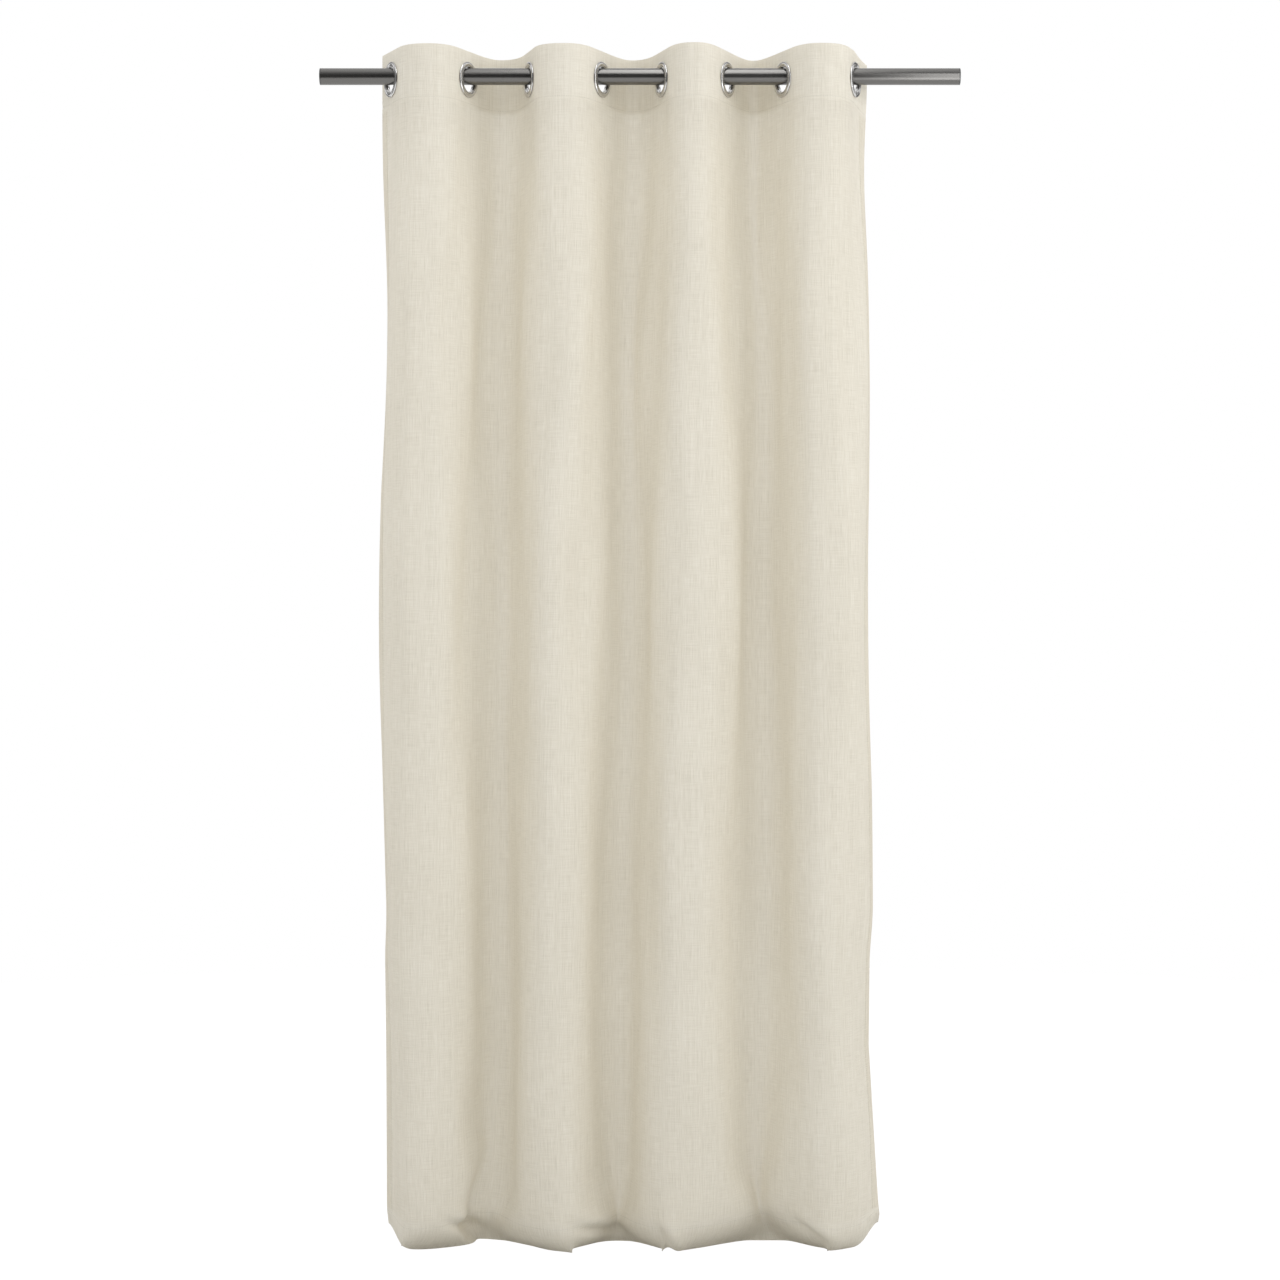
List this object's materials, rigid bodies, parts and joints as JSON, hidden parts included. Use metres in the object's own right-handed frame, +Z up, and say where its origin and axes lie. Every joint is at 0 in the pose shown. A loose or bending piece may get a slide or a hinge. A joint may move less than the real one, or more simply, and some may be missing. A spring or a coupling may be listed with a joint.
{
  "type": "eyelet curtain on a rod",
  "caption": "Floor-length linen-look curtain with metal eyelets, hanging in soft vertical folds on a straight brushed metal rod.",
  "frame": {"origin": "on the rod's axis, halfway along the rod", "axes": "+Z up, +X along the rod to the right as seen from the front, -Y towards the viewer in front of the curtain"},
  "size_m": [1.0816, 0.1578, 2.0278],
  "materials": {
    "rod_steel": "satin brushed nickel",
    "cap_steel": "satin",
    "eyelet_metal": "polished",
    "curtain_cloth": "matt slubbed plain weave, ecru",
    "heading_tape": "stiff white woven tape"
  },
  "bodies": {
    "rod": {"rod_tube": "rod_steel", "end_cap_left": "cap_steel", "end_cap_right": "cap_steel"},
    "section_1": {"cloth_section_1": "curtain_cloth", "heading_tape_1": "heading_tape", "eyelet_front_1": "eyelet_metal", "eyelet_back_1": "eyelet_metal"},
    "section_2": {"cloth_section_2": "curtain_cloth", "heading_tape_2": "heading_tape", "eyelet_front_2": "eyelet_metal", "eyelet_back_2": "eyelet_metal"},
    "section_3": {"cloth_section_3": "curtain_cloth", "heading_tape_3": "heading_tape", "eyelet_front_3": "eyelet_metal", "eyelet_back_3": "eyelet_metal"},
    "section_4": {"cloth_section_4": "curtain_cloth", "heading_tape_4": "heading_tape", "eyelet_front_4": "eyelet_metal", "eyelet_back_4": "eyelet_metal"},
    "section_5": {"cloth_section_5": "curtain_cloth", "heading_tape_5": "heading_tape", "eyelet_front_5": "eyelet_metal", "eyelet_back_5": "eyelet_metal"},
    "section_6": {"cloth_section_6": "curtain_cloth", "heading_tape_6": "heading_tape", "eyelet_front_6": "eyelet_metal", "eyelet_back_6": "eyelet_metal"},
    "section_7": {"cloth_section_7": "curtain_cloth", "heading_tape_7": "heading_tape", "eyelet_front_7": "eyelet_metal", "eyelet_back_7": "eyelet_metal"},
    "section_8": {"cloth_section_8": "curtain_cloth", "heading_tape_8": "heading_tape", "eyelet_front_8": "eyelet_metal", "eyelet_back_8": "eyelet_metal"}
  },
  "joints": [
    {"name": "gather", "type": "hinge", "parent": "rod", "child": "section_1", "pos_m": [-0.42, 0, 0], "axis": [0, 0, -1], "range_deg": [-6, 22]},
    {"name": "fold_1", "type": "hinge", "parent": "section_1", "child": "section_2", "pos_m": [-0.3555, -0.06318, 0], "axis": [0, 0, 1], "range_deg": [-12, 44]},
    {"name": "fold_2", "type": "hinge", "parent": "section_2", "child": "section_3", "pos_m": [-0.239, 0.07644, 0], "axis": [0, 0, -1], "range_deg": [-12, 44]},
    {"name": "fold_3", "type": "hinge", "parent": "section_3", "child": "section_4", "pos_m": [-0.12599, -0.06503, 0], "axis": [0, 0, 1], "range_deg": [-12, 44]},
    {"name": "fold_4", "type": "hinge", "parent": "section_4", "child": "section_5", "pos_m": [-0.01396, 0.07825, 0], "axis": [0, 0, -1], "range_deg": [-12, 44]},
    {"name": "fold_5", "type": "hinge", "parent": "section_5", "child": "section_6", "pos_m": [0.09206, -0.07307, 0], "axis": [0, 0, 1], "range_deg": [-12, 44]},
    {"name": "fold_6", "type": "hinge", "parent": "section_6", "child": "section_7", "pos_m": [0.19459, 0.08278, 0], "axis": [0, 0, -1], "range_deg": [-12, 44]},
    {"name": "fold_7", "type": "hinge", "parent": "section_7", "child": "section_8", "pos_m": [0.30265, -0.06624, 0], "axis": [0, 0, 1], "range_deg": [-12, 44]}
  ],
  "couplings": [
    {"joint": "fold_1", "follows": "gather", "ratio": 2},
    {"joint": "fold_2", "follows": "gather", "ratio": 2},
    {"joint": "fold_3", "follows": "gather", "ratio": 2},
    {"joint": "fold_4", "follows": "gather", "ratio": 2},
    {"joint": "fold_5", "follows": "gather", "ratio": 2},
    {"joint": "fold_6", "follows": "gather", "ratio": 2},
    {"joint": "fold_7", "follows": "gather", "ratio": 2}
  ]
}
